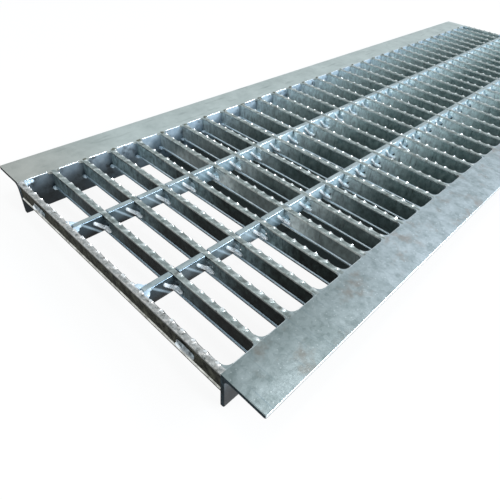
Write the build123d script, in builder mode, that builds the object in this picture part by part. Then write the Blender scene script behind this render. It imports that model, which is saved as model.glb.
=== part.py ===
from build123d import *
import math
import os

os.makedirs("parts", exist_ok=True)

# Channel drain grate, in millimetres. X runs across the channel, Y along it and Z is up.
# The origin is at the bottom centre, on the plane of the two leg edges.

# The whole grate
length = 995.0
clear_width = 283.0
bar_count = 32

# Side angles: one leg lies on the channel wall, the other hangs inside the channel
seat_width = 40.0
leg_depth = 36.0
angle_thickness = 4.0
root_radius = 5.0
toe_radius = 2.0

# Main bars: rolled I-section with tapered flanges
bar_depth = 20.0
bar_flange_width = 5.0
web_thickness = 3.0
flange_edge_thickness = 2.2
flange_root_thickness = 2.8

# Cross bars: two flats on edge that run through all the inner main bars
cross_spacing = 100.0
cross_thickness = 6.0
turning_hole_length = 20.0
turning_hole_height = 7.0
turning_hole_corner = 2.4
fit = 0.3

# Weld metal
wide_corner_weld = 6.0
plain_corner_weld = 3.5
cross_end_weld = 4.5
foot_weld_reach = 4.0
bead_length = 8.0
bead_height = 2.2
bead_proud = 1.6
bead_crest = 1.3
riser_run = 4.6
riser_rise = 8.5
riser_proud = 1.2

# Oval pads on the outer face of the near end bar
pad_inset = 36.5
pad_length = 20.0
pad_height = 10.0

# Worked out from the sizes above
top = leg_depth
half_width = clear_width / 2
bar_pitch = (length - bar_flange_width) / (bar_count - 1)
bar_y = [(i - (bar_count - 1) / 2) * bar_pitch for i in range(bar_count)]
inner_bar_y = bar_y[1:-1]
flange_half = bar_flange_width / 2
web_half = web_thickness / 2
web_height = bar_depth - 2 * flange_root_thickness
bar_axis = top - bar_depth / 2
cross_x = {"left": -cross_spacing / 2, "right": cross_spacing / 2}
cross_half = cross_thickness / 2
side_sign = {"left": -1, "right": 1}


def corner(sketch, x, y):
    return sketch.vertices().sort_by_distance((x, y))[0]


def make_side_angle(side):
    # Rolled angle: its square heel is the inner top edge, and its root faces down and outwards
    sign = side_sign[side]
    inner = sign * half_width
    outer = sign * (half_width + seat_width)
    leg_back = sign * (half_width + angle_thickness)
    seat_under = top - angle_thickness
    with BuildPart() as angle:
        with BuildSketch(Plane.XZ.offset(-length / 2)) as section:
            with BuildLine():
                Polyline(
                    (inner, top),
                    (outer, top),
                    (outer, seat_under),
                    (leg_back, seat_under),
                    (leg_back, 0),
                    (inner, 0),
                    close=True,
                )
            make_face()
            fillet(corner(section, leg_back, seat_under), root_radius)
            fillet(corner(section, outer, seat_under), toe_radius)
            fillet(corner(section, leg_back, 0), toe_radius)
        extrude(amount=length)
    return angle.part


def turning_hole():
    with BuildSketch() as hole:
        Rectangle(turning_hole_length, turning_hole_height)
        chamfer(hole.vertices(), turning_hole_corner)
    return hole.sketch


def make_main_bar(y, slotted):
    # The bar spans the clear width and butts against both legs, flush with the seats
    bar_end = Plane(origin=(-half_width, y, top), x_dir=(0, 1, 0), z_dir=(1, 0, 0))
    web_plane = Plane(origin=(0, y, bar_axis), x_dir=(1, 0, 0), z_dir=(0, -1, 0))
    with BuildPart() as bar:
        with BuildSketch(bar_end):
            with BuildLine():
                Polyline(
                    (0, 0),
                    (flange_half, 0),
                    (flange_half, -flange_edge_thickness),
                    (web_half, -flange_root_thickness),
                    (web_half, -bar_depth + flange_root_thickness),
                    (flange_half, -bar_depth + flange_edge_thickness),
                    (flange_half, -bar_depth),
                    (0, -bar_depth),
                    close=True,
                )
            make_face()
            mirror(about=Plane.YZ)
        extrude(amount=clear_width)
        if slotted:
            # Each slot holds a cross bar, and its wide hole let the flat turn upright
            with BuildSketch(web_plane):
                with Locations(*[(x, 0) for x in cross_x.values()]):
                    add(turning_hole())
                    Rectangle(cross_thickness + 2 * fit, web_height)
            extrude(amount=flange_half, both=True, mode=Mode.SUBTRACT)
    return bar.part


def make_cross_bar(side):
    # The top edge is flush with the bars, and is notched to pass under each top flange
    face_x = cross_x[side] - cross_half
    end_y = bar_y[-1] - web_half
    depth = bar_depth - flange_root_thickness
    notch_depth = flange_root_thickness + fit
    notch_axis = top - notch_depth / 2
    end_notch = flange_half - web_half + fit
    with BuildPart() as cross:
        with BuildSketch(Plane.YZ.offset(face_x)):
            with Locations((0, top - depth / 2)):
                Rectangle(2 * end_y, depth)
            with Locations(*[(y, notch_axis) for y in inner_bar_y]):
                Rectangle(bar_flange_width + 2 * fit, notch_depth, mode=Mode.SUBTRACT)
            with Locations(*[(s * (end_y - end_notch / 2), notch_axis) for s in (-1, 1)]):
                Rectangle(end_notch, notch_depth, mode=Mode.SUBTRACT)
        extrude(amount=cross_thickness)
    return cross.part


def hollow_corner(reach):
    # Weld fillet with a hollow face for a square corner at the origin, open to +X and +Y
    hollow = reach * (1 - math.sqrt(0.5))
    with BuildSketch() as fillet_face:
        with BuildLine():
            Line((0, 0), (reach, 0))
            ThreePointArc((reach, 0), (hollow, hollow), (0, reach))
            Line((0, reach), (0, 0))
        make_face()
    return fillet_face.sketch


def straight_corner(reach):
    with BuildSketch() as tack_face:
        with BuildLine():
            Polyline((0, 0), (reach, 0), (0, reach), close=True)
        make_face()
    return tack_face.sketch


def make_corner_welds(side):
    # Level with the top, they fill the corners between the bars and the side angle
    leg = side_sign[side] * half_width
    is_right = side == "right"
    far_corner = hollow_corner(wide_corner_weld) if is_right else straight_corner(plain_corner_weld)
    far_turn = 90 if is_right else 0
    near_turn = 180 if is_right else 270
    with BuildPart() as welds:
        with BuildSketch(Plane.XY.offset(top - flange_edge_thickness)):
            with Locations(*[(leg, y + flange_half) for y in bar_y[:-1]]):
                add(far_corner, rotation=far_turn)
            with Locations(*[(leg, y - flange_half) for y in bar_y[1:]]):
                add(straight_corner(plain_corner_weld), rotation=near_turn)
        extrude(amount=flange_edge_thickness)
    return welds.part


def make_foot_welds(side):
    # Tacks between each bottom flange and the leg
    leg = side_sign[side] * half_width
    turn = 180 if side == "right" else 270
    with BuildPart() as welds:
        with BuildSketch(Plane.XY.offset(top - bar_depth)):
            with Locations(*[(leg, y - flange_half) for y in bar_y[1:]]):
                add(straight_corner(foot_weld_reach), rotation=turn)
        extrude(amount=flange_edge_thickness)
    return welds.part


def make_cross_end_welds():
    # They fill the corners where the cross bars meet the end bars
    end_y = bar_y[-1] - flange_half
    turns = {(1, -1): 0, (-1, -1): 90, (-1, 1): 180, (1, 1): 270}
    with BuildPart() as welds:
        with BuildSketch(Plane.XY.offset(top - flange_edge_thickness)):
            for (sign_x, sign_y), turn in turns.items():
                with Locations(*[(x + sign_x * cross_half, sign_y * end_y) for x in cross_x.values()]):
                    add(straight_corner(cross_end_weld), rotation=turn)
        extrude(amount=flange_edge_thickness)
    return welds.part


def bead_section():
    # Profile of the bead along the web, with its flat back on the web
    with BuildSketch() as profile:
        with BuildLine():
            Polyline((0, 0), (-bead_proud, -bead_crest), (0, -bead_height), close=True)
        make_face()
    return profile.sketch


def riser_face():
    # The bead climbs the face of the cross bar, leaning away from the web
    with BuildSketch() as riser:
        with BuildLine():
            Polyline((0, 0), (-riser_run, riser_rise), (-bead_proud, -bead_crest), close=True)
        make_face()
    return riser.sketch


def make_crossing_beads(side):
    # Below each turning hole a bead ties the web to both faces of the cross bar
    bead_top = bar_axis - turning_hole_height / 2
    starts = [(y - web_half, bead_top) for y in inner_bar_y]
    with BuildPart() as beads:
        for sign in (-1, 1):
            face = Plane.YZ.offset(cross_x[side] + sign * cross_half)
            with BuildSketch(face):
                with Locations(*starts):
                    add(bead_section())
            extrude(amount=sign * bead_length)
            with BuildSketch(face):
                with Locations(*starts):
                    add(riser_face())
            extrude(amount=sign * riser_proud)
    return beads.part


def make_end_pads():
    # Two raised ovals that stand on the bottom flange of the near end bar
    web_face = bar_y[0] - web_half
    pad_z = top - bar_depth + flange_root_thickness + pad_height / 2
    pad_plane = Plane(origin=(0, web_face, pad_z), x_dir=(1, 0, 0), z_dir=(0, -1, 0))
    with BuildPart() as pads:
        with BuildSketch(pad_plane):
            with Locations(*[(sign * (half_width - pad_inset), 0) for sign in (-1, 1)]):
                SlotOverall(pad_length, pad_height)
        extrude(amount=flange_half - web_half)
    return pads.part


def save(part, name):
    part.label = name
    export_step(part, f"parts/{name}.step")


for side in ("left", "right"):
    save(make_side_angle(side), f"side_angle_{side}")
    save(make_cross_bar(side), f"cross_bar_{side}")
    save(make_corner_welds(side), f"corner_welds_{side}")
    save(make_foot_welds(side), f"foot_welds_{side}")
    save(make_crossing_beads(side), f"crossing_beads_{side}")

for number, y in enumerate(bar_y, start=1):
    end_names = {1: "end_bar_near", bar_count: "end_bar_far"}
    is_end = number in end_names
    save(make_main_bar(y, slotted=not is_end), end_names.get(number, f"main_bar_{number:02d}"))

save(make_cross_end_welds(), "cross_end_welds")
save(make_end_pads(), "end_pads")
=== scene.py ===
import bmesh
import bpy
import math
import random
from mathutils import Matrix, Vector


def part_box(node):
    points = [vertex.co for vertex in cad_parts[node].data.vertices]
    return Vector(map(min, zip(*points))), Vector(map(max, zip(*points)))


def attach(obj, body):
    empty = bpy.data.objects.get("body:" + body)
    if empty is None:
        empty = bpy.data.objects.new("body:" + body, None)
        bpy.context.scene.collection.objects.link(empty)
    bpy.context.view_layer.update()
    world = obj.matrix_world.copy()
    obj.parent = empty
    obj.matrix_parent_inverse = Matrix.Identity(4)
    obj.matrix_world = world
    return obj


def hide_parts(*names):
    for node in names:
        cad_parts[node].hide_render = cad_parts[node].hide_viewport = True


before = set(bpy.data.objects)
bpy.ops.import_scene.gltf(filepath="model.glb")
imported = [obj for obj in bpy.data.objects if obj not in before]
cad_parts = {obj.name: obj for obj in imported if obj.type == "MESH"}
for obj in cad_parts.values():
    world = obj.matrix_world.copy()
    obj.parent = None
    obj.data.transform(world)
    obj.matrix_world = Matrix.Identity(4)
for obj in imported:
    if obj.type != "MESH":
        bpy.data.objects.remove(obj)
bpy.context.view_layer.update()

mm = 0.001
print("scene: frame loaded,", len(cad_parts), "nodes")

# Names and places that come from the frame
sides = {"left": -1, "right": 1}
barNames = sorted(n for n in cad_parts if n.startswith("main_bar_"))
barNames = ["end_bar_near"] + barNames + ["end_bar_far"]
barLow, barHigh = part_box("end_bar_near")
barStart, barEnd = barLow.x, barHigh.x
topZ, underZ = barHigh.z, barLow.z
middleZ = (topZ + underZ) / 2
flangeHalf = (barHigh.y - barLow.y) / 2
barY = [(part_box(name)[0].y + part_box(name)[1].y) / 2 for name in barNames]
barPitch = barY[1] - barY[0]
crossBox = {side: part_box(f"cross_bar_{side}") for side in sides}
crossX = {side: (low.x + high.x) / 2 for side, (low, high) in crossBox.items()}
crossGap = crossX["right"] - crossX["left"]
crossHalf = (crossBox["left"][1].x - crossBox["left"][0].x) / 2
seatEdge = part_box("side_angle_right")[1].x


def hexColor(text):
    parts = [int(text[i:i + 2], 16) / 255 for i in (1, 3, 5)]
    return [p / 12.92 if p <= 0.04045 else ((p + 0.055) / 1.055) ** 2.4 for p in parts] + [1.0]


def addNode(tree, kind, settings=None, inputs=None):
    node = tree.nodes.new(kind)
    for key, value in (settings or {}).items():
        setattr(node, key, value)
    for key, value in (inputs or {}).items():
        if isinstance(value, bpy.types.NodeSocket):
            tree.links.new(value, node.inputs[key])
        else:
            node.inputs[key].default_value = value
    return node


def newMaterial(name):
    material = bpy.data.materials.new(name)
    material.use_nodes = True
    material.node_tree.nodes.clear()
    return material, material.node_tree


# Hot-dip galvanised steel: the zinc froze on the steel, which gives the eye a pale cloudy grey with faint
# spangle, a soft relief and a broad shine. These values are common to all its looks. Among them, cornerShade
# is painted shade for the low near corners, and the reflected-light and glint ranges shape painted
# reflections and glints. Sizes are in mm; grit and specks are drawn coarser than they are, so that they show
zincForm = {
    "cloudLow": 0.36, "cloudHigh": 0.66, "stainLow": 0.54, "stainHigh": 0.68, "speckInner": 0.05,
    "speckOuter": 0.16, "speckShare": 0.75, "smokeSize": 9, "cornerShade": "#0a0f11", "cellStart": 0.05,
    "cellFull": 0.7, "reflectedLightEnd": 0.5, "streakLow": 0.6, "streakHigh": 0.74,
    "mottleSize": (4.7619, 16.6667, 8.3333), "mottleLow": 0.34, "mottleHigh": 0.66, "hollowEnd": 0.3,
    "glintAndPolishStart": 0.42, "glintAndPolishFull": 0.66, "gritLow": 0.3, "gritHigh": 0.7,
}


# A Mix node's colours go in at 6 and 7 and come out at 2
def cloudyZinc(tree, place, look):
    cloud = addNode(tree, "ShaderNodeTexNoise", None, {
        "Vector": place, "Scale": 1 / (look["cloudSize"] * mm), "Detail": 6.0, "Roughness": 0.6})
    ramp = addNode(tree, "ShaderNodeValToRGB", None, {"Fac": cloud.outputs["Fac"]})
    low, high = ramp.color_ramp.elements
    low.position, low.color = zincForm["cloudLow"], hexColor(look["dark"])
    high.position, high.color = zincForm["cloudHigh"], hexColor(look["light"])
    spangle = addNode(tree, "ShaderNodeTexVoronoi", None, {
        "Vector": place, "Scale": 1 / (look["spangleSize"] * mm), "Randomness": 1.0})
    flake = addNode(tree, "ShaderNodeSeparateColor", None, {"Color": spangle.outputs["Color"]})
    share = addNode(tree, "ShaderNodeMath", {"operation": "MULTIPLY"}, {
        0: flake.outputs["Red"], 1: look["spangleShare"]})
    return addNode(tree, "ShaderNodeMix", {"data_type": "RGBA"}, {
        "Factor": share.outputs[0], 6: ramp.outputs["Color"], 7: hexColor(look["flake"])}).outputs[2]


def stainedZinc(tree, place, look, color):
    blot = addNode(tree, "ShaderNodeTexNoise", None, {
        "Vector": place, "Scale": 1 / (look["stainSize"] * mm), "Detail": 4.0, "Roughness": 0.65})
    wet = addNode(tree, "ShaderNodeMapRange", None, {
        "Value": blot.outputs["Fac"], "From Min": zincForm["stainLow"], "From Max": zincForm["stainHigh"],
        "To Max": look["stainShare"]})
    return addNode(tree, "ShaderNodeMix", {"data_type": "RGBA"}, {
        "Factor": wet.outputs["Result"], 6: color, 7: hexColor(look["stain"])}).outputs[2]


def speckledZinc(tree, place, look, color):
    seeds = addNode(tree, "ShaderNodeTexVoronoi", None, {
        "Vector": place, "Scale": 1 / (look["speckGap"] * mm), "Randomness": 1.0})
    dot = addNode(tree, "ShaderNodeMapRange", None, {
        "Value": seeds.outputs["Distance"], "From Min": zincForm["speckInner"],
        "From Max": zincForm["speckOuter"], "To Min": zincForm["speckShare"], "To Max": 0.0})
    return addNode(tree, "ShaderNodeMix", {"data_type": "RGBA"}, {
        "Factor": dot.outputs["Result"], 6: color, 7: hexColor(look["speck"])}).outputs[2]


def shadeBelow(tree, place, look):
    # Painted shade: full low down and none at the top
    height = addNode(tree, "ShaderNodeSeparateXYZ", None, {"Vector": place})
    smoke = addNode(tree, "ShaderNodeTexNoise", None, {
        "Vector": place, "Scale": 1 / (zincForm["smokeSize"] * mm), "Detail": 2.0})
    lift = addNode(tree, "ShaderNodeMath", {"operation": "MULTIPLY_ADD"}, {
        0: smoke.outputs["Fac"], 1: look["fadeSmoke"] * mm, 2: height.outputs["Z"]})
    return addNode(tree, "ShaderNodeMapRange", {"interpolation_type": "SMOOTHSTEP"}, {
        "Value": lift.outputs[0], "From Min": look["fadeLow"] * mm, "From Max": look["fadeHigh"] * mm,
        "To Min": 1.0, "To Max": 0.0}).outputs["Result"]


def openingShade(tree, place, look, color):
    # In each opening the web gets a painted reflection beside the cross bar on its left and painted shade
    # away from it. The painted reflection also lightens it beside the left leg
    aside = addNode(tree, "ShaderNodeSeparateXYZ", None, {"Vector": place})
    step = addNode(tree, "ShaderNodeMath", {"operation": "MULTIPLY_ADD"}, {
        0: aside.outputs["X"], 1: 1 / crossGap, 2: 0.5})
    part = addNode(tree, "ShaderNodeMath", {"operation": "FRACT"}, {0: step.outputs[0]})
    shadeAmount = addNode(tree, "ShaderNodeMapRange", {"interpolation_type": "SMOOTHSTEP"}, {
        "Value": part.outputs[0], "From Min": zincForm["cellStart"], "From Max": zincForm["cellFull"],
        "To Max": look["cellShadeShare"]})
    color = addNode(tree, "ShaderNodeMix", {"data_type": "RGBA"}, {
        "Factor": shadeAmount.outputs["Result"], 6: color, 7: hexColor(look["cellShade"])}).outputs[2]
    bright = addNode(tree, "ShaderNodeMapRange", {"interpolation_type": "SMOOTHSTEP"}, {
        "Value": part.outputs[0], "From Min": zincForm["cellStart"], "From Max": zincForm["reflectedLightEnd"],
        "To Min": look["reflectedLightShare"], "To Max": 0.0})
    nearLeg = addNode(tree, "ShaderNodeMapRange", {"interpolation_type": "SMOOTHSTEP"}, {
        "Value": aside.outputs["X"], "From Min": barStart, "From Max": crossX["left"],
        "To Min": look["legShare"], "To Max": 0.0})
    glow = addNode(tree, "ShaderNodeMath", {"operation": "MAXIMUM"}, {
        0: bright.outputs["Result"], 1: nearLeg.outputs["Result"]}).outputs[0]
    color = addNode(tree, "ShaderNodeMix", {"data_type": "RGBA"}, {
        "Factor": glow, 6: color, 7: hexColor(look["reflectedLight"])}).outputs[2]
    return color, glow


def nearEndShade(tree, place, look, color, glow, fade):
    # Painted shade: the near end of the grate is drawn darker than the far end, most of all in its low
    # corners, and least where the painted reflection lightens the web
    along = addNode(tree, "ShaderNodeSeparateXYZ", None, {"Vector": place})
    nearShadeAmount = addNode(tree, "ShaderNodeMapRange", {"interpolation_type": "SMOOTHSTEP"}, {
        "Value": along.outputs["Y"], "From Min": look["nearShadeStart"], "From Max": look["nearShadeEnd"],
        "To Min": look["nearShadeShare"], "To Max": 0.0}).outputs["Result"]
    nearShadeFactor = nearShadeAmount
    if glow is not None:
        spared = addNode(tree, "ShaderNodeMath", {"operation": "MULTIPLY_ADD"}, {
            0: glow, 1: -look["spared"], 2: 1.0})
        nearShadeFactor = addNode(tree, "ShaderNodeMath", {"operation": "MULTIPLY"}, {
            0: nearShadeAmount, 1: spared.outputs[0]}).outputs[0]
    color = addNode(tree, "ShaderNodeMix", {"data_type": "RGBA", "blend_type": look["nearShadeBlend"]}, {
        "Factor": nearShadeFactor, 6: color, 7: hexColor(look["nearShade"])}).outputs[2]
    if fade is not None:
        corner = addNode(tree, "ShaderNodeMath", {"operation": "MULTIPLY", "use_clamp": True}, {
            0: nearShadeAmount, 1: fade})
        corner = addNode(tree, "ShaderNodeMath", {"operation": "MULTIPLY", "use_clamp": True}, {
            0: corner.outputs[0], 1: look["cornerGain"]})
        color = addNode(tree, "ShaderNodeMix", {"data_type": "RGBA"}, {
            "Factor": corner.outputs[0], 6: color, 7: hexColor(zincForm["cornerShade"])}).outputs[2]
    return color


def paintedBeadReflections(tree, place, look, color):
    # A painted reflection of each crossing's bead: a pale stripe down the face beside it, at the same slant
    face = addNode(tree, "ShaderNodeSeparateXYZ", None, {"Vector": place})
    slant = addNode(tree, "ShaderNodeMath", {"operation": "MULTIPLY_ADD"}, {
        0: face.outputs["Z"], 1: look["beadReflectionSlant"], 2: face.outputs["Y"]})
    firstReflection = barY[0] + look["beadReflectionPlace"] * mm
    count = addNode(tree, "ShaderNodeMath", {"operation": "MULTIPLY_ADD"}, {
        0: slant.outputs[0], 1: 1 / barPitch, 2: 0.5 - firstReflection / barPitch})
    part = addNode(tree, "ShaderNodeMath", {"operation": "FRACT"}, {0: count.outputs[0]})
    offset = addNode(tree, "ShaderNodeMath", {"operation": "SUBTRACT"}, {0: part.outputs[0], 1: 0.5})
    distance = addNode(tree, "ShaderNodeMath", {"operation": "ABSOLUTE"}, {0: offset.outputs[0]})
    beadReflection = addNode(tree, "ShaderNodeMapRange", {"interpolation_type": "SMOOTHSTEP"}, {
        "Value": distance.outputs[0], "From Min": 0.0, "From Max": look["beadReflectionHalf"] * mm / barPitch,
        "To Min": look["beadReflectionShare"], "To Max": 0.0})
    return addNode(tree, "ShaderNodeMix", {"data_type": "RGBA"}, {
        "Factor": beadReflection.outputs["Result"], 6: color, 7: hexColor(look["beadReflection"])}).outputs[2]


def drawnStreaks(tree, place, look, color):
    drawn = addNode(tree, "ShaderNodeMapping", None, {
        "Vector": place, "Scale": [1 / (size * mm) for size in look["streakSize"]]})
    lines = addNode(tree, "ShaderNodeTexNoise", None, {
        "Vector": drawn.outputs["Vector"], "Scale": 1.0, "Detail": 3.0})
    thin = addNode(tree, "ShaderNodeMapRange", None, {
        "Value": lines.outputs["Fac"], "From Min": zincForm["streakLow"], "From Max": zincForm["streakHigh"],
        "To Max": look["streakShare"]})
    return addNode(tree, "ShaderNodeMix", {"data_type": "RGBA"}, {
        "Factor": thin.outputs["Result"], 6: color, 7: hexColor(look["streak"])}).outputs[2]


def mottledZinc(tree, place, look, color):
    drawn = addNode(tree, "ShaderNodeMapping", None, {
        "Vector": place, "Scale": [1 / (size * mm) for size in zincForm["mottleSize"]]})
    patches = addNode(tree, "ShaderNodeTexNoise", None, {
        "Vector": drawn.outputs["Vector"], "Scale": 1.0, "Detail": 5.0, "Roughness": 0.7})
    depth = addNode(tree, "ShaderNodeMapRange", None, {
        "Value": patches.outputs["Fac"], "From Min": zincForm["mottleLow"],
        "From Max": zincForm["mottleHigh"], "To Min": 1 - look["mottle"], "To Max": 1 + look["mottle"]})
    return addNode(tree, "ShaderNodeMix", {"data_type": "RGBA", "blend_type": "MULTIPLY"}, {
        "Factor": 1.0, 6: color, 7: depth.outputs["Result"]}).outputs[2]


def nubGlintsAndGrime(tree, look, color):
    # Dirt stays in the hollows between the nubs. The polished nubs and a band along the far edge are painted
    # white as glints
    raisedAndGlint = addNode(tree, "ShaderNodeAttribute", {"attribute_name": "raisedAndGlint"})
    hollow = addNode(tree, "ShaderNodeMapRange", {"interpolation_type": "SMOOTHSTEP"}, {
        "Value": raisedAndGlint.outputs["Fac"], "From Min": 0.0, "From Max": zincForm["hollowEnd"],
        "To Min": look["grimeShare"], "To Max": 0.0})
    color = addNode(tree, "ShaderNodeMix", {"data_type": "RGBA"}, {
        "Factor": hollow.outputs["Result"], 6: color, 7: hexColor(look["grime"])}).outputs[2]
    glintAndPolish = addNode(tree, "ShaderNodeMapRange", {"interpolation_type": "SMOOTHSTEP"}, {
        "Value": raisedAndGlint.outputs["Fac"], "From Min": zincForm["glintAndPolishStart"],
        "From Max": zincForm["glintAndPolishFull"]}).outputs["Result"]
    color = addNode(tree, "ShaderNodeMix", {"data_type": "RGBA"}, {
        "Factor": glintAndPolish, 6: color, 7: hexColor(look["glintColor"])}).outputs[2]
    return color, glintAndPolish


def hotDipZinc(name, look):
    material, tree = newMaterial(name)
    place = addNode(tree, "ShaderNodeTexCoord").outputs["Object"]
    fade = glow = glintAndPolish = None
    color = cloudyZinc(tree, place, look)
    if "stain" in look:
        color = stainedZinc(tree, place, look, color)
    if "speck" in look:
        color = speckledZinc(tree, place, look, color)
    if "lowShade" in look:
        fade = shadeBelow(tree, place, look)
        color = addNode(tree, "ShaderNodeMix", {"data_type": "RGBA", "blend_type": "MULTIPLY"}, {
            "Factor": fade, 6: color, 7: hexColor(look["lowShade"])}).outputs[2]
    if "cellShade" in look:
        color, glow = openingShade(tree, place, look, color)
    if "nearShade" in look:
        color = nearEndShade(tree, place, look, color, glow, fade)
    if "beadReflection" in look:
        color = paintedBeadReflections(tree, place, look, color)
    if "streak" in look:
        color = drawnStreaks(tree, place, look, color)
    if "mottle" in look:
        color = mottledZinc(tree, place, look, color)
    if "glintColor" in look:
        color, glintAndPolish = nubGlintsAndGrime(tree, look, color)
    grit = addNode(tree, "ShaderNodeTexNoise", None, {
        "Vector": place, "Scale": 1 / (look["gritSize"] * mm), "Detail": 3.0})
    roughness = addNode(tree, "ShaderNodeMapRange", None, {
        "Value": grit.outputs["Fac"], "From Min": zincForm["gritLow"], "From Max": zincForm["gritHigh"],
        "To Min": look["smooth"], "To Max": look["rough"]}).outputs["Result"]
    if glintAndPolish is not None:
        roughness = addNode(tree, "ShaderNodeMix", {"data_type": "FLOAT"}, {
            "Factor": glintAndPolish, 2: roughness, 3: look["polished"]}).outputs[0]
    wave = addNode(tree, "ShaderNodeTexNoise", None, {
        "Vector": place, "Scale": 1 / (look["waveSize"] * mm), "Detail": 2.0})
    relief = addNode(tree, "ShaderNodeMath", {"operation": "MULTIPLY_ADD"}, {
        0: grit.outputs["Fac"], 1: look["gritShare"], 2: wave.outputs["Fac"]})
    bump = addNode(tree, "ShaderNodeBump", None, {
        "Height": relief.outputs[0], "Strength": 1.0, "Distance": look["bumpDepth"] * mm})
    skin = addNode(tree, "ShaderNodeBsdfPrincipled", None, {
        "Base Color": color, "Roughness": roughness, "Normal": bump.outputs["Normal"],
        "Metallic": look["metallic"], "Specular IOR Level": look["specular"]})
    addNode(tree, "ShaderNodeOutputMaterial", None, {"Surface": skin.outputs["BSDF"]})
    return material


# The looks. Sizes in mm, but nearShadeStart and nearShadeEnd, where the painted near-end shade runs, are
# places along the grate, in metres.
# Rolled plate: even pale grey with a satin shine
plateLook = {
    "dark": "#bac3c0", "light": "#ccd4d1", "flake": "#dbe2df", "cloudSize": 30, "spangleSize": 5,
    "spangleShare": 0.2, "gritSize": 1.5, "gritShare": 0.15, "waveSize": 14, "smooth": 0.42, "rough": 0.52,
    "bumpDepth": 0.1, "metallic": 0.9, "specular": 0.5, "nearShadeBlend": "MIX",
}
# The left plate: faint streaks along the rolling, and a warmer, slightly darker near corner: painted shade
leftPlateLook = dict(
    plateLook, streak="#87918f", streakShare=0.45, streakSize=(6.6667, 38.4615, 16.6667), nearShade="#f1e7e2",
    nearShadeBlend="MULTIPLY", nearShadeStart=-0.5, nearShadeEnd=-0.36, nearShadeShare=0.9)
# The right plate: mottled, with warm grey stains, bright specks and fine scratches across, and painted shade
# at the near end
rightPlateLook = dict(
    plateLook, dark="#9ca8ab", light="#c0cacf", flake="#d9e3e8", cloudSize=11, spangleSize=3,
    spangleShare=0.35, stain="#a69f9a", stainSize=21, stainShare=0.7, speck="#f4faff", speckGap=3.5,
    waveSize=5, bumpDepth=0.2, streak="#6f7f88", streakShare=0.35, streakSize=(40.0, 1.6129, 16.6667),
    nearShade="#c5c8c3", nearShadeBlend="MULTIPLY", nearShadeStart=-0.44, nearShadeEnd=-0.28, nearShadeShare=0.9)
# Ribbed bar tops: coarse spangle, brown dirt in the hollows, and polished nubs and far edges painted white as
# glints
ribLook = dict(
    plateLook, dark="#a2aeaa", light="#eaf2f0", flake="#f4f8f7", cloudSize=5, spangleSize=2.5,
    spangleShare=0.3, stain="#61574e", stainSize=7, stainShare=0.65, waveSize=3, bumpDepth=0.12,
    smooth=0.22, rough=0.38, grime="#566160", grimeShare=0.55, glintColor="#ffffff", polished=0.14)
# The near end bar's top: warmer, and broken into small light and dark spots
endRibLook = dict(
    ribLook, dark="#9fa09d", light="#f0e9e4", flake="#ffffff", cloudSize=3, spangleShare=0.5,
    stain="#36362f", stainSize=4, stainShare=0.85, grimeShare=0.4)
# Sides of the top flanges: a grey line that painted shade takes nearly black towards the near end
flangeSideLook = dict(
    ribLook, stainShare=0.3, grimeShare=0.0, nearShade="#151b1c", nearShadeStart=-0.49, nearShadeEnd=-0.14, nearShadeShare=0.9)
# Webs down in the openings: blue-grey with thin dark runs, painted shade away from the cross bars and at the
# near end, and a painted reflection beside the cross bars
webLook = dict(
    plateLook, dark="#98b0b0", light="#c6dad9", flake="#d3e3e3", cloudSize=7, spangleSize=4,
    spangleShare=0.3, waveSize=5, bumpDepth=0.15, smooth=0.3, rough=0.45, metallic=0.5, nearShade="#162122",
    nearShadeStart=-0.42, nearShadeEnd=-0.11, nearShadeShare=0.93, cellShade="#405653", cellShadeShare=0.6, reflectedLight="#effbfb",
    reflectedLightShare=0.95, legShare=0.6, spared=0.45, streak="#141c1e", streakShare=0.6,
    streakSize=(2.381, 16.6667, 18.1818), mottle=0.35)
# The first webs: painted almost black as shade, with hardly any shine
nearWebLook = dict(
    webLook, dark="#0e1615", light="#46534f", flake="#4b5a5c", cellShade="#070b0b", cellShadeShare=0.7,
    reflectedLight="#8fa3a8", reflectedLightShare=0.5, legShare=0.85, mottle=0.6, nearShade="#070b0b", nearShadeStart=-0.49,
    nearShadeEnd=-0.38, nearShadeShare=0.75, smooth=0.5, rough=0.6, metallic=0.1, specular=0.05)
# The outer face of the far end: plain middle grey
farWebLook = dict(
    webLook, dark="#6f8081", light="#a3b2b3", cellShadeShare=0.0, reflectedLightShare=0.0, legShare=0.0, nearShadeShare=0.0)
# Bottom flanges: a painted highlight, a pale bluish line under each dark web, with painted shade at the near
# end
ledgeHighlightLook = dict(
    plateLook, dark="#c6dae8", light="#eaf5fc", flake="#ffffff", cloudSize=16, spangleSize=4, waveSize=5,
    smooth=0.25, rough=0.35, bumpDepth=0.02, metallic=0.45, nearShade="#8fa8b8", nearShadeStart=-0.47,
    nearShadeEnd=-0.34, nearShadeShare=0.8)
# The near end's bottom flange: a cream painted highlight with grey patches
endLedgeHighlightLook = dict(ledgeHighlightLook, dark="#8f8d84", light="#f6f3ea", cloudSize=8, nearShadeShare=0.0)
# Legs: light blue-grey and blotched, with painted shade low down and at the near end, darkest in the low near
# corners
legLook = dict(
    plateLook, dark="#a6bccd", light="#cfe3f0", flake="#e2ecf3", cloudSize=14, stain="#182023",
    stainSize=15, stainShare=0.85, waveSize=8, smooth=0.3, rough=0.45, metallic=0.35, specular=0.3,
    lowShade="#838b8f", fadeLow=15, fadeHigh=41, fadeSmoke=11, nearShade="#1f2a2f", nearShadeStart=-0.5, nearShadeEnd=-0.28,
    nearShadeShare=0.8, cornerGain=1.0)
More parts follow.
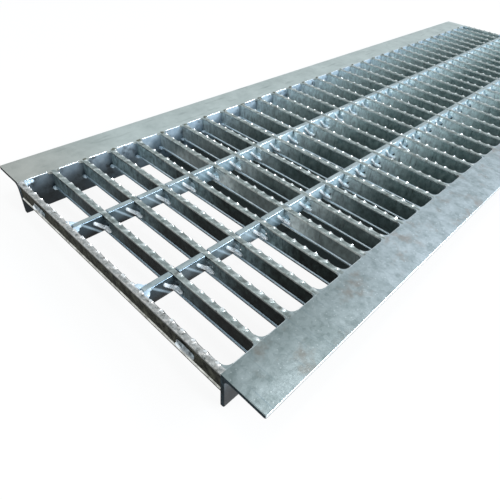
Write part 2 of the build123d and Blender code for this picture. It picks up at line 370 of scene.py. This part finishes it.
# Cross bar faces: as the legs, with painted shade below and at the near end, and a painted reflection of each
# bead as a pale slanting stripe beside it
crossLook = dict(
    legLook, dark="#9ab7c2", light="#c6dee6", stainShare=0.3, lowShade="#a3adb2", fadeLow=18, fadeHigh=36,
    fadeSmoke=8, nearShade="#15232b", nearShadeStart=-0.49, nearShadeEnd=-0.29, nearShadeShare=0.93, cornerGain=1.7,
    beadReflection="#c3dae8", beadReflectionSlant=0.98, beadReflectionPlace=12.1, beadReflectionHalf=2.4, beadReflectionShare=0.55)
# Cross bar tops: plain satin grey
crossTopLook = dict(plateLook, dark="#9daaac", light="#bcc8cb", cloudSize=20)
# Edges: painted highlights as thin white lines, which painted shade greys on the cross bars near the near end
edgeHighlightLook = dict(
    plateLook, dark="#dde6ec", light="#f4f8fb", flake="#ffffff", smooth=0.2, rough=0.3, bumpDepth=0.02)
crossEdgeHighlightLook = dict(
    edgeHighlightLook, dark="#b9c7d1", light="#d6e2ea", nearShade="#6f828e", nearShadeStart=-0.49, nearShadeEnd=-0.25,
    nearShadeShare=0.9)
# Sawn ends and undersides: painted shade, nearly black against the pale floor
shadedEndLook = dict(
    nearWebLook, dark="#0a1012", light="#1e2b31", flake="#3a4c55", nearShadeShare=0.3, cellShadeShare=0.0,
    reflectedLightShare=0.0, legShare=0.0, metallic=0.0, specular=0.02)
# The near end bar's outer face: brown-olive and blotched, painted dark as shade, and dull
endWebLook = dict(
    nearWebLook, dark="#0d0e0b", light="#32322a", flake="#56554a", cloudSize=5, stain="#080907",
    stainSize=7, stainShare=0.8, cellShadeShare=0.0, reflectedLightShare=0.0, legShare=0.0, nearShadeShare=0.0,
    metallic=0.0, specular=0.02)
# Weld metal under thick zinc: white and glossy. The foot tacks are bluer, the pads darker and like a mirror,
# the lumps on the left dull olive
weldLook = dict(
    plateLook, dark="#e2edf4", light="#ffffff", flake="#ffffff", cloudSize=5, spangleSize=3, waveSize=2.5,
    bumpDepth=0.15, smooth=0.12, rough=0.25, metallic=0.2)
footLook = dict(weldLook, dark="#9dbbd0", light="#d8eaf5", smooth=0.2, rough=0.34)
padLook = dict(
    weldLook, dark="#161d1d", light="#86949a", flake="#d6dfe4", cloudSize=3, smooth=0.05, rough=0.12,
    metallic=0.9)
lumpLook = dict(weldLook, dark="#2c2f27", light="#5f6255", flake="#8a8c7c", smooth=0.3, rough=0.5)

# Some looks carry painted light: the edge and ledge looks are painted highlights, the sawn-end, end-web and
# near-web looks painted shade
plateZinc = {
    "left": hotDipZinc("hotDipZincOnLeftAngle", leftPlateLook),
    "right": hotDipZinc("hotDipZincOnRightAngle", rightPlateLook),
}
ribZinc = hotDipZinc("hotDipZincOnRibbedTop", ribLook)
endRibZinc = hotDipZinc("hotDipZincOnEndBarTop", endRibLook)
flangeSideZinc = hotDipZinc("hotDipZincOnFlangeSide", flangeSideLook)
endLedgeHighlightZinc = hotDipZinc("creamZincWithPaintedHighlightOnTheEndLedge", endLedgeHighlightLook)
crossEdgeHighlightZinc = hotDipZinc("zincWithPaintedHighlightOnTheCrossBarEdge", crossEdgeHighlightLook)
webZinc = hotDipZinc("zincWithPaintedShadeAndReflectionInTheRecess", webLook)
farWebZinc = hotDipZinc("plainZincOnTheFarEnd", farWebLook)
nearWebZinc = hotDipZinc("zincWithPaintedShadeInTheNearRecess", nearWebLook)
ledgeHighlightZinc = hotDipZinc("zincWithPaintedHighlightOnTheLedge", ledgeHighlightLook)
legZinc = hotDipZinc("zincOnTheLeg", legLook)
crossZinc = hotDipZinc("zincOnTheCrossBar", crossLook)
crossTopZinc = hotDipZinc("zincOnTheCrossBarTop", crossTopLook)
edgeHighlightZinc = hotDipZinc("zincWithPaintedHighlightOnTheEdge", edgeHighlightLook)
shadedEndZinc = hotDipZinc("zincWithPaintedShadeOnTheSawnEnd", shadedEndLook)
endWebZinc = hotDipZinc("brownedZincWithPaintedShadeOnTheEndBar", endWebLook)
weldZinc = hotDipZinc("zincOverWeldMetal", weldLook)
footZinc = hotDipZinc("zincOverFootWeld", footLook)
padZinc = hotDipZinc("glossyZincOverPad", padLook)
lumpZinc = hotDipZinc("dullZincOverLumpyWeld", lumpLook)
print("scene: materials made")


# How every piece is merged and shaded: the gap that closes, in mm, and the angle past which an edge is sharp
meshForm = {"mergeGap": 0.001, "sharpAngle": 38}


def finishPiece(name, bm, materials, node):
    bmesh.ops.remove_doubles(bm, verts=bm.verts[:], dist=meshForm["mergeGap"] * mm)
    bmesh.ops.recalc_face_normals(bm, faces=bm.faces[:])
    mesh = bpy.data.meshes.new(name)
    bm.to_mesh(mesh)
    bm.free()
    piece = bpy.data.objects.new(name, mesh)
    bpy.context.scene.collection.objects.link(piece)
    for material in materials:
        mesh.materials.append(material)
    mesh.shade_smooth()
    mesh.set_sharp_from_angle(angle=math.radians(meshForm["sharpAngle"]))
    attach(piece, "root")
    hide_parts(node)


def facesOf(verts):
    return {f for v in verts for f in v.link_faces}


def paintFaces(faces, materialIndex):
    for f in faces:
        f.material_index = materialIndex


def outlineSolid(bm, points, along, materialIndex=0):
    # A flat outline, pushed out along one direction
    verts = [bm.verts.new(p) for p in points]
    face = bm.faces.new(verts)
    grown = bmesh.ops.extrude_face_region(bm, geom=[face])
    moved = [v for v in grown["geom"] if isinstance(v, bmesh.types.BMVert)]
    bmesh.ops.translate(bm, verts=moved, vec=along)
    faces = facesOf(verts + moved)
    paintFaces(faces, materialIndex)
    return faces


# Main bars: rolled I-section with a row of nubs and slanting ribs across the top flange. Sizes in mm; places
# across the flange run from -1 at its near edge to 1 at its far edge, and a facing is part of a face's normal
barForm = {
    "webHalf": 1.5, "edgeThickness": 2.2, "rootThickness": 2.8, "webLap": 0.9, "rootBlend": 2.5,
    "toeRound": 1.0, "ribs": 24, "stepsPerRib": 12, "rows": 8, "endReach": 0.75, "endFade": 9,
    "nubHeight": 1.4, "nubReach": 1.2, "nubPlace": 1.5, "nubKinds": 40, "nubSlip": 0.3, "tallestNub": 1.15,
    "plainNub": 0.7, "wornNub": 0.4, "wornBars": 6, "ribHeight": 0.5, "ribHalf": 1.8, "ribSlant": 2.6,
    "ribPlace": 0.4, "ribShare": 0.7, "ribRaised": 0.3, "ribBulge": 0.3, "ground": 0.15, "wornEdgeHighlight": 0.15,
    "plainEdgeHighlight": 0.4, "edgeRound": 0.7, "roundPlace": 0.72, "topDepth": 1.2, "slotClearance": 0.3,
    "holeLength": 20.0, "holeHeight": 7.0, "holeCorner": 2.4, "shadedNearBars": 5, "seed": 100,
    "rimFacing": 0.3, "topFacing": 0.35, "flankFacing": 0.5, "ledgeFacing": 0.2,
}
ribSlot, webSlot, ledgeSlot, flangeSideSlot = range(4)


def ribbedFlange(bm, y, index):
    form = barForm
    dice = random.Random(form["seed"] + index)
    worn = 0 < index < form["wornBars"]
    lowest = form["wornNub"] if worn else form["plainNub"]
    edgeHighlight = form["wornEdgeHighlight"] if worn else form["plainEdgeHighlight"]
    length = (barEnd - barStart) / mm + 2 * form["endReach"]
    start = barStart - form["endReach"] * mm
    pitch = length / form["ribs"]
    raisedAndGlint = bm.verts.layers.float.new("raisedAndGlint")
    grid = bmesh.ops.create_grid(
        bm, x_segments=form["ribs"] * form["stepsPerRib"], y_segments=form["rows"], size=0.5)
    top = bm.faces[:]
    shift = dice.randrange(form["stepsPerRib"]) * pitch / form["stepsPerRib"]
    nubs = [(dice.uniform(lowest, form["tallestNub"]), dice.uniform(-form["nubSlip"], form["nubSlip"]))
            for _ in range(form["nubKinds"])]
    for v in grid["verts"]:
        # The grid comes one unit wide, with its middle at zero
        x = v.co.x * length + length / 2
        across = v.co.y * 2
        fromAxis = across * flangeHalf / mm
        count = math.floor((x + shift) / pitch)
        size, slip = nubs[count % form["nubKinds"]]
        fromNub = x + shift - (count + 0.5) * pitch - slip
        beside = (fromAxis - form["nubPlace"]) / form["nubReach"]
        nub = math.exp(-((fromNub / form["nubReach"]) ** 2 + beside ** 2))
        lean = fromNub - form["ribSlant"] * (across - form["ribPlace"])
        rib = math.exp(-(lean / form["ribHalf"]) ** 2)
        rib *= form["ribShare"] + (1 - form["ribShare"]) * across
        # The attribute also carries a painted highlight along the far edge of the top
        v[raisedAndGlint] = nub * min(1.0, size) + form["ribRaised"] * rib + edgeHighlight * max(0.0, across)
        rounding = max(0.0, abs(across) - form["roundPlace"]) / (1 - form["roundPlace"])
        ends = min(1.0, x / form["endFade"], (length - x) / form["endFade"])
        height = size * ends * (form["nubHeight"] * nub + form["ribHeight"] * rib) - form["ground"] * ends
        v.co = (x * mm + start, (fromAxis + form["ribBulge"] * rib * ends * across) * mm + y,
                topZ + (height - form["edgeRound"] * rounding ** 2) * mm)
    grown = bmesh.ops.extrude_face_region(bm, geom=top)
    for v in grown["geom"]:
        if isinstance(v, bmesh.types.BMVert):
            inside = 1 - min(1.0, abs(v.co.y - y) / flangeHalf)
            taper = form["rootThickness"] - form["edgeThickness"]
            v.co.z = topZ - (form["edgeThickness"] + taper * min(1.0, inside * form["rootBlend"])) * mm
    bm.normal_update()
    # Up-facing faces take the rib look, the near edge and flanks the flange side's look, the rest the web's
    # look with its painted shade
    for f in bm.faces:
        middle = f.calc_center_median()
        nearEdge = middle.y < y - form["roundPlace"] * flangeHalf and f.normal.y < -form["rimFacing"]
        facesUp = abs(f.normal.z) > form["topFacing"] and middle.z > topZ - form["topDepth"] * mm
        if facesUp and not nearEdge:
            f.material_index = ribSlot
        elif nearEdge or abs(f.normal.y) > form["flankFacing"]:
            f.material_index = flangeSideSlot
        else:
            f.material_index = webSlot


def webPlates(bm, y, slotted):
    form = barForm
    half = form["webHalf"] * mm
    lap = form["webLap"] * form["rootThickness"] * mm
    high, low = topZ - lap, underZ + lap
    gap = crossHalf + form["slotClearance"] * mm
    reach = form["holeLength"] * mm / 2
    tall = form["holeHeight"] * mm / 2
    cut = form["holeCorner"] * mm
    stops = [barStart, crossX["left"], crossX["right"], barEnd] if slotted else [barStart, barEnd]
    for left, right in zip(stops, stops[1:]):
        outline = []
        for end, turn in ((left, 1), (right, -1)):
            column = [(end, high), (end, low)]
            if end not in (barStart, barEnd):
                # Half a slot: narrow above and below, wide at mid height
                edge, tip = end + turn * gap, end + turn * reach
                column = [
                    (edge, high), (edge, middleZ + tall), (tip - turn * cut, middleZ + tall),
                    (tip, middleZ + tall - cut), (tip, middleZ - tall + cut),
                    (tip - turn * cut, middleZ - tall), (edge, middleZ - tall), (edge, low),
                ]
            outline += column if turn == 1 else column[::-1]
        outlineSolid(bm, [(x, y - half, z) for x, z in outline], (0, 2 * half, 0), webSlot)


def bottomFlange(bm, y):
    form = barForm
    half, edge, root = form["webHalf"] * mm, form["edgeThickness"] * mm, form["rootThickness"] * mm
    profile = [(-flangeHalf, 0), (flangeHalf, 0), (flangeHalf, edge), (half, root), (-half, root),
               (-flangeHalf, edge)]
    outline = [(barStart, y + a, underZ + b) for a, b in profile]
    faces = outlineSolid(bm, outline, (barEnd - barStart, 0, 0), ledgeSlot)
    longEdges = {e for f in faces for e in f.edges if e.calc_length() > (barEnd - barStart) / 2}
    toes = [e for e in longEdges if abs(abs(e.verts[0].co.y - y) - flangeHalf) < meshForm["mergeGap"] * mm]
    bmesh.ops.bevel(bm, geom=toes, offset=form["toeRound"] * mm, segments=3, profile=0.5, affect="EDGES",
                    material=-1)
    bm.normal_update()
    # Faces that don't face up take the web's look: painted shade under the ledge's painted highlight
    for f in bm.faces:
        if f.material_index == ledgeSlot and f.normal.z < form["ledgeFacing"]:
            f.material_index = webSlot


for index, name in enumerate(barNames):
    bm = bmesh.new()
    ribbedFlange(bm, barY[index], index)
    webPlates(bm, barY[index], slotted=name.startswith("main"))
    bottomFlange(bm, barY[index])
    # The first bars' webs are painted almost black as shade
    plain = nearWebZinc if index < barForm["shadedNearBars"] else webZinc
    plain = {"end_bar_near": endWebZinc, "end_bar_far": farWebZinc}.get(name, plain)
    ribs, ledge = (endRibZinc, endLedgeHighlightZinc) if index == 0 else (ribZinc, ledgeHighlightZinc)
    finishPiece(name + "_zinc", bm, [ribs, plain, ledge, flangeSideZinc], name)
print("scene: bars made")


# Side angles and cross bars: the frame's own forms with rounded edges. Sizes in mm and angles in degrees; the
# bands say how far from the seat's outer edge, the heel and the leg's inner face a finish reaches
angleForm = {
    "angleRound": 0.7, "crossRound": 0.8, "shadowDepth": 1.9, "outerBand": 2.0, "heelBand": 1.0,
    "legBand": 4.5, "flatAngle": 1, "sharpAngle": 40, "sawnFacing": 0.75, "edgeFacing": 0.5,
    "levelFacing": 0.98, "seatFacing": 0.3, "crossLevelFacing": 0.97, "crossEdgeFacing": 0.2,
}
shadowZ = topZ - angleForm["shadowDepth"] * mm  # Below this, the seat's outer edge lies in its own shadow
seatSlot, legSlot, sawnShadeSlot, edgeHighlightSlot = range(4)
faceSlot, topSlot, crossHighlightSlot = range(3)


def roundedCopy(node, radius, materials, choose):
    bm = bmesh.new()
    bm.from_mesh(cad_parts[node].data)
    bmesh.ops.remove_doubles(bm, verts=bm.verts[:], dist=meshForm["mergeGap"] * mm)
    bmesh.ops.dissolve_limit(
        bm, angle_limit=math.radians(angleForm["flatAngle"]), verts=bm.verts[:], edges=bm.edges[:])
    sharp = math.radians(angleForm["sharpAngle"])
    corners = [e for e in bm.edges if len(e.link_faces) == 2 and e.calc_face_angle() > sharp]
    bmesh.ops.bevel(bm, geom=corners, offset=radius * mm, segments=3, profile=0.5, affect="EDGES",
                    material=-1)
    everything = bm.verts[:] + bm.edges[:] + bm.faces[:]
    bmesh.ops.bisect_plane(bm, geom=everything, plane_co=(0, 0, shadowZ), plane_no=(0, 0, 1))
    bm.normal_update()
    for f in bm.faces:
        f.material_index = choose(f.normal, f.calc_center_median())
    finishPiece(node + "_zinc", bm, materials, node)


def angleFinish(normal, centre):
    form = angleForm
    outer = abs(centre.x) > seatEdge - form["outerBand"] * mm
    nearHeel = abs(centre.x) < barEnd + form["heelBand"] * mm
    heel = nearHeel and centre.z > topZ - form["heelBand"] * mm
    # Sawn ends, the seat's outer edge low down and faces away from the leg's inner face get painted shade
    if abs(normal.y) > form["sawnFacing"] or outer and centre.z < shadowZ:
        return sawnShadeSlot
    # The seat's outer edge and the heel get a painted highlight
    if outer and abs(normal.x) > form["edgeFacing"] or heel and normal.z < form["levelFacing"]:
        return edgeHighlightSlot
    if normal.z > form["seatFacing"]:
        return seatSlot
    return legSlot if abs(centre.x) < barEnd + form["legBand"] * mm else sawnShadeSlot


def crossFinish(normal, centre):
    # The cross bar's bevels get a painted highlight, and its faces painted shade
    if normal.z > angleForm["crossLevelFacing"]:
        return topSlot
    return crossHighlightSlot if normal.z > angleForm["crossEdgeFacing"] else faceSlot


for side in sides:
    roundedCopy(f"side_angle_{side}", angleForm["angleRound"], [plateZinc[side], legZinc, shadedEndZinc, edgeHighlightZinc],
                angleFinish)
    roundedCopy(f"cross_bar_{side}", angleForm["crossRound"], [crossZinc, crossTopZinc, crossEdgeHighlightZinc],
                crossFinish)
print("scene: side angles and cross bars made")


# Weld metal. Sizes in mm; each bead is a capsule with few faces, because there are hundreds of them
weldForm = {
    "seeds": {"left": 7, "right": 8}, "around": 8, "along": 6, "spin": 22, "arcSteps": 6, "depth": 2.2,
    "overlap": 0.65, "sink": 0.03,
    "wideReach": 6.0, "plainReach": 3.5, "endReach": 6.5,
    "puddlePlaces": (1.5, 4.5, 7.5), "puddleInset": 1.0, "puddleRadius": 1.9, "puddleDrop": 1.2,
    "puddleSlope": 0.2, "puddleEnd": 8, "puddleShare": 0.6, "puddleTurn": 1,
    "lumps": 3, "lumpAside": (-0.5, 2.0), "lumpAlong": (-0.5, 3.4), "lumpDrop": 0.5, "lumpLength": 0.5,
    "lumpRadius": (1.0, 1.8),
    "footReach": 4.6, "footVaries": (0.8, 1.1), "footInset": 0.35, "footForward": 0.15, "footLift": 1.6,
    "footLength": 1.5, "footRise": 0.4,
    "beadLength": 8.5, "beadRadius": 1.9, "beadGap": 0.3, "beadForward": 0.7, "beadDrop": 0.6,
    "beadRise": 0.2, "beadRound": 1.5, "ridgeRun": 9.0, "ridgeRise": 9.2, "ridgeRadius": 1.9,
    "blobRadius": 2.6, "blobAside": 1.2, "blobForward": 1.6, "blobDrop": 0.7, "blobLength": 1.5,
    "blobTurn": 0.8, "blobFlat": 0.45, "shadedFacing": 0.3,
}
lumpSlot, puddleSlot = 1, 2
shadedSlot = 1


def capsule(bm, start, end, radius, flatten=None):
    # A bead with round ends from one point to another
    ball = bmesh.ops.create_uvsphere(
        bm, u_segments=weldForm["around"], v_segments=weldForm["along"], radius=radius)["verts"]
    spin = Matrix.Rotation(math.radians(weldForm["spin"]), 3, "Z")
    bmesh.ops.rotate(bm, verts=ball, cent=(0, 0, 0), matrix=spin)
    path = Vector(end) - Vector(start)
    turn = path.to_track_quat("Z", "Y").to_matrix()
    for v in ball:
        if v.co.z > 0:
            v.co.z += path.length
    bmesh.ops.rotate(bm, verts=ball, cent=(0, 0, 0), matrix=turn)
    if flatten:
        bmesh.ops.scale(bm, verts=ball, vec=flatten)
    bmesh.ops.translate(bm, verts=ball, vec=start)
    return ball


def hollowFillet(bm, corner, signX, signY, reach):
    # Level with the plate, it laps the rounded edges beside it
    form = weldForm
    lap = form["overlap"] * mm
    reach *= mm
    centre = (corner[0] + signX * reach, corner[1] + signY * reach)
    arc = []
    for i in range(form["arcSteps"] + 1):
        angle = math.pi / 2 * i / form["arcSteps"]
        arc.append((centre[0] - signX * reach * math.sin(angle), centre[1] - signY * reach * math.cos(angle)))
    back = corner[0] - signX * lap
    outline = [(back, corner[1] - signY * lap), (arc[0][0], corner[1] - signY * lap)] + arc
    outline.append((back, arc[-1][1]))
    top = topZ - form["sink"] * mm
    outlineSolid(bm, [(x, y, top) for x, y in outline], (0, 0, -form["depth"] * mm))


def cornerPuddle(bm, x, y):
    # The first left corner carries a broad bright puddle of weld, a little lower than the plate
    form = weldForm
    for along in form["puddlePlaces"]:
        drop = form["puddleDrop"] + form["puddleSlope"] * along
        at = Vector((x + form["puddleInset"] * mm, y + along * mm, topZ - drop * mm))
        length = (form["puddleEnd"] - along) * form["puddleShare"] * mm
        path = Vector((length, -form["puddleTurn"] * mm, 0))
        paintFaces(facesOf(capsule(bm, at, at + path, form["puddleRadius"] * mm)), puddleSlot)


def roughLumps(bm, x, y, dice):
    # Rough dark olive lumps at the ends of the left side's bars
    form = weldForm
    for _ in range(form["lumps"]):
        aside, along = dice.uniform(*form["lumpAside"]) * mm, dice.uniform(*form["lumpAlong"]) * mm
        at = Vector((x + aside, y + along, topZ - form["lumpDrop"] * mm))
        path = Vector((0, form["lumpLength"] * mm, 0))
        lump = capsule(bm, at, at + path, dice.uniform(*form["lumpRadius"]) * mm)
        paintFaces(facesOf(lump), lumpSlot)


def cornerWelds(side, sign, dice):
    bm = bmesh.new()
    legX = sign * barEnd
    isLeft = side == "left"
    for index, y in enumerate(barY[:-1]):
        farY = y + flangeHalf
        hollowFillet(bm, (legX, farY), -sign, 1, weldForm["plainReach" if isLeft else "wideReach"])
        if isLeft and index == 0:
            cornerPuddle(bm, legX, farY)
        if isLeft and index > 1:
            roughLumps(bm, legX, y, dice)
    for y in barY[1:]:
        hollowFillet(bm, (legX, y - flangeHalf), -sign, -1, weldForm["plainReach"])
    node = f"corner_welds_{side}"
    finishPiece(node + "_zinc", bm, [plateZinc[side], lumpZinc, footZinc], node)


def footWelds(side, sign, dice):
    bm = bmesh.new()
    form = weldForm
    legX = sign * barEnd
    for y in barY[1:]:
        size = form["footReach"] * mm * dice.uniform(*form["footVaries"])
        at = Vector((legX - sign * size * form["footInset"], y - flangeHalf - size * form["footForward"],
                     underZ + form["footLift"] * mm))
        path = Vector((-sign * form["footLength"] * mm, 0, form["footRise"] * mm))
        capsule(bm, at, at + path, size / 2)
    node = f"foot_welds_{side}"
    finishPiece(node + "_zinc", bm, [footZinc], node)


def crossingBeads(side):
    # A bead along the web under each hole, and a ridge that climbs the cross bar's face. The beads are dark
    # below, in their own shade, and the ridges are bright all round
    bm = bmesh.new()
    form = weldForm
    holeFloor = middleZ - barForm["holeHeight"] * mm / 2
    beadRun = (form["beadLength"] - form["beadRound"]) * mm
    ridgePath = Vector((0, -form["ridgeRun"], form["ridgeRise"])) * mm
    ridges = set()
    for y in barY[1:-1]:
        for turn in (-1, 1):
            faceX = crossX[side] + turn * crossHalf
            webY = y - barForm["webHalf"] * mm
            low = Vector((faceX + turn * form["beadGap"] * mm, webY - form["beadForward"] * mm,
                          holeFloor - form["beadDrop"] * mm))
            beadPath = Vector((turn * beadRun, 0, form["beadRise"] * mm))
            capsule(bm, low, low + beadPath, form["beadRadius"] * mm)
            ridges |= facesOf(capsule(bm, low, low + ridgePath, form["ridgeRadius"] * mm))
    bm.normal_update()
    shaded = [f for f in bm.faces if f.normal.z < -form["shadedFacing"] and f not in ridges]
    paintFaces(shaded, shadedSlot)
    node = f"crossing_beads_{side}"
    finishPiece(node + "_zinc", bm, [weldZinc, nearWebZinc], node)


def crossEndWelds():
    bm = bmesh.new()
    form = weldForm
    for side in sides:
        for signY in (-1, 1):
            inner = signY * (abs(barY[0]) - flangeHalf)
            for turn in (-1, 1):
                faceX = crossX[side] + turn * crossHalf
                hollowFillet(bm, (faceX, inner), turn, -signY, form["endReach"])
                at = Vector((faceX + turn * form["blobAside"] * mm, inner - signY * form["blobForward"] * mm,
                             topZ - form["blobDrop"] * mm))
                path = Vector((turn * form["blobLength"] * mm, signY * form["blobTurn"] * mm, 0))
                capsule(bm, at, at + path, form["blobRadius"] * mm, flatten=(1, 1, form["blobFlat"]))
    finishPiece("cross_end_welds_zinc", bm, [footZinc], "cross_end_welds")


for side, sign in sides.items():
    dice = random.Random(weldForm["seeds"][side])
    cornerWelds(side, sign, dice)
    footWelds(side, sign, dice)
    crossingBeads(side)
crossEndWelds()
print("scene: welds made")


# Oval pads on the near end bar, each with a small white bump at its upper left as a painted highlight. Sizes
# in mm
padForm = {
    "stretch": 10, "flatten": 0.35, "highlightPlace": (-1.5, -1.7, 1.5), "highlightPath": (2.5, 0, -0.8),
    "highlightRadius": 1.5,
}
padHighlightSlot = 1


def endPads():
    bm = bmesh.new()
    low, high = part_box("end_pads")
    half = (high.z - low.z) / 2
    stretch = Vector((padForm["stretch"] * mm, 0, 0))
    for sign in (-1, 1):
        centre = sign * (abs(low.x) - half - stretch.x / 2)
        start = Vector((centre, high.y, low.z + half)) - stretch / 2
        capsule(bm, start, start + stretch, half, flatten=(1, padForm["flatten"], 1))
        # A small white bump at the upper left: a painted highlight
        drop = start + Vector(padForm["highlightPlace"]) * mm
        highlightBump = capsule(bm, drop, drop + Vector(padForm["highlightPath"]) * mm, padForm["highlightRadius"] * mm)
        paintFaces(facesOf(highlightBump), padHighlightSlot)
    finishPiece("end_pads_zinc", bm, [padZinc, weldZinc], "end_pads")


endPads()
print("scene: pads made")


# Camera at the photograph's viewing place
view = {
    "place": (0.264617, -0.607774, 0.288221),
    "right": (0.7336, 0.6751, 0.0778),
    "up": (-0.4606, 0.4096, 0.7874),
    "back": (0.4998, -0.6135, 0.6114),
    "sensor": 36.0, "lens": 32.643, "shiftX": -0.05355, "shiftY": -0.06271, "nearest": 0.01,
}
cameraData = bpy.data.cameras.new("photoCamera")
cameraData.sensor_width = view["sensor"]
cameraData.lens = view["lens"]
cameraData.shift_x = view["shiftX"]
cameraData.shift_y = view["shiftY"]
cameraData.clip_start = view["nearest"]
camera = bpy.data.objects.new("photoCamera", cameraData)
bpy.context.scene.collection.objects.link(camera)
turn = Matrix((view["right"], view["up"], view["back"])).transposed().to_4x4()
camera.matrix_world = Matrix.Translation(view["place"]) @ turn
bpy.context.scene.camera = camera


# Painted floor: pale and plain, near white to the eye and in reflections. Under the grate, behind its first
# four openings, deep shade is painted into it, where the close grid keeps the light off. Places in metres
floorForm = {
    "paint": "#f6f7f7", "roughness": 0.9, "halfSize": 8, "whiteShare": 0.9, "shade": "#1e2827",
    "halfWidth": 0.1455, "softSide": 0.004, "start": -0.352, "full": -0.332, "end": 0.495, "endFade": 0.05,
}


def deepShade(tree, place):
    form = floorForm
    spot = addNode(tree, "ShaderNodeSeparateXYZ", None, {"Vector": place})
    across = addNode(tree, "ShaderNodeMath", {"operation": "ABSOLUTE"}, {0: spot.outputs["X"]})
    inside = addNode(tree, "ShaderNodeMapRange", {"interpolation_type": "SMOOTHSTEP"}, {
        "Value": across.outputs[0], "From Min": form["halfWidth"] - form["softSide"],
        "From Max": form["halfWidth"], "To Min": 1.0, "To Max": 0.0})
    behind = addNode(tree, "ShaderNodeMapRange", {"interpolation_type": "SMOOTHSTEP"}, {
        "Value": spot.outputs["Y"], "From Min": form["start"], "From Max": form["full"]})
    before = addNode(tree, "ShaderNodeMapRange", {"interpolation_type": "SMOOTHSTEP"}, {
        "Value": spot.outputs["Y"], "From Min": form["end"] - form["endFade"], "From Max": form["end"],
        "To Min": 1.0, "To Max": 0.0})
    dark = addNode(tree, "ShaderNodeMath", {"operation": "MULTIPLY"}, {
        0: inside.outputs["Result"], 1: behind.outputs["Result"]})
    return addNode(tree, "ShaderNodeMath", {"operation": "MULTIPLY"}, {
        0: dark.outputs[0], 1: before.outputs["Result"]}).outputs[0]


def palePaint():
    material, tree = newMaterial("palePaintedFloor")
    dark = deepShade(tree, addNode(tree, "ShaderNodeTexCoord").outputs["Object"])
    tone = addNode(tree, "ShaderNodeMix", {"data_type": "RGBA"}, {
        "Factor": dark, 6: hexColor(floorForm["paint"]), 7: hexColor(floorForm["shade"])})
    paint = addNode(tree, "ShaderNodeBsdfPrincipled", None, {
        "Base Color": tone.outputs[2], "Roughness": floorForm["roughness"]})
    rays = addNode(tree, "ShaderNodeLightPath")
    seen = addNode(tree, "ShaderNodeMath", {"operation": "MAXIMUM"}, {
        0: rays.outputs["Is Camera Ray"], 1: rays.outputs["Is Glossy Ray"]})
    seen = addNode(tree, "ShaderNodeMath", {"operation": "MAXIMUM"}, {
        0: seen.outputs[0], 1: rays.outputs["Is Transmission Ray"]})
    lit = addNode(tree, "ShaderNodeMath", {"operation": "MULTIPLY_ADD"}, {
        0: dark, 1: -floorForm["whiteShare"], 2: floorForm["whiteShare"]})
    share = addNode(tree, "ShaderNodeMath", {"operation": "MULTIPLY"}, {
        0: seen.outputs[0], 1: lit.outputs[0]})
    white = addNode(tree, "ShaderNodeEmission", None, {"Color": hexColor("#ffffff"), "Strength": 1.0})
    mixed = addNode(tree, "ShaderNodeMixShader", None, {
        0: share.outputs[0], 1: paint.outputs["BSDF"], 2: white.outputs["Emission"]})
    addNode(tree, "ShaderNodeOutputMaterial", None, {"Surface": mixed.outputs["Shader"]})
    return material


def makeFloor():
    bm = bmesh.new()
    bmesh.ops.create_grid(bm, x_segments=1, y_segments=1, size=floorForm["halfSize"])
    mesh = bpy.data.meshes.new("floor")
    bm.to_mesh(mesh)
    bm.free()
    mesh.materials.append(palePaint())
    floor = bpy.data.objects.new("floor", mesh)
    bpy.context.scene.collection.objects.link(floor)


makeFloor()


# Soft lamps from the right, from above and from the front, in metres and watts, and the studio round them
lamps = {
    "windowLight": {"place": (2.0, 1.5, 1.5), "target": (0, -0.05, 0), "size": (1.0, 0.8), "watts": 66,
                    "color": "#eef6ff"},
    "sideLight": {"place": (1.9, 0.1, 0.9), "target": (0, 0, 0), "size": (0.8, 0.5), "watts": 22,
                  "color": "#eaf4ff"},
    "ceilingLight": {"place": (0.1, -0.2, 1.9), "target": (0, -0.2, 0), "size": (0.25, 0.25), "watts": 6,
                     "color": "#f6faff"},
    "frontLight": {"place": (-0.9, -1.9, 1.0), "target": (0, -0.1, 0), "size": (2.2, 1.2), "watts": 4,
                   "color": "#f8f6f2"},
}
studio = {"color": "#e9f2f6", "strength": 0.8}

for name, lamp in lamps.items():
    data = bpy.data.lights.new(name, "AREA")
    data.shape = "RECTANGLE"
    data.size, data.size_y = lamp["size"]
    data.energy = lamp["watts"]
    data.color = hexColor(lamp["color"])[:3]
    light = bpy.data.objects.new(name, data)
    bpy.context.scene.collection.objects.link(light)
    aim = Vector(lamp["target"]) - Vector(lamp["place"])
    light.matrix_world = Matrix.Translation(lamp["place"]) @ aim.to_track_quat("-Z", "Y").to_matrix().to_4x4()

world = bpy.data.worlds.new("studio")
world.use_nodes = True
world.node_tree.nodes["Background"].inputs["Color"].default_value = hexColor(studio["color"])
world.node_tree.nodes["Background"].inputs["Strength"].default_value = studio["strength"]
bpy.context.scene.world = world
bpy.context.scene.view_settings.view_transform = "Standard"
print("scene: camera, floor and lamps made")
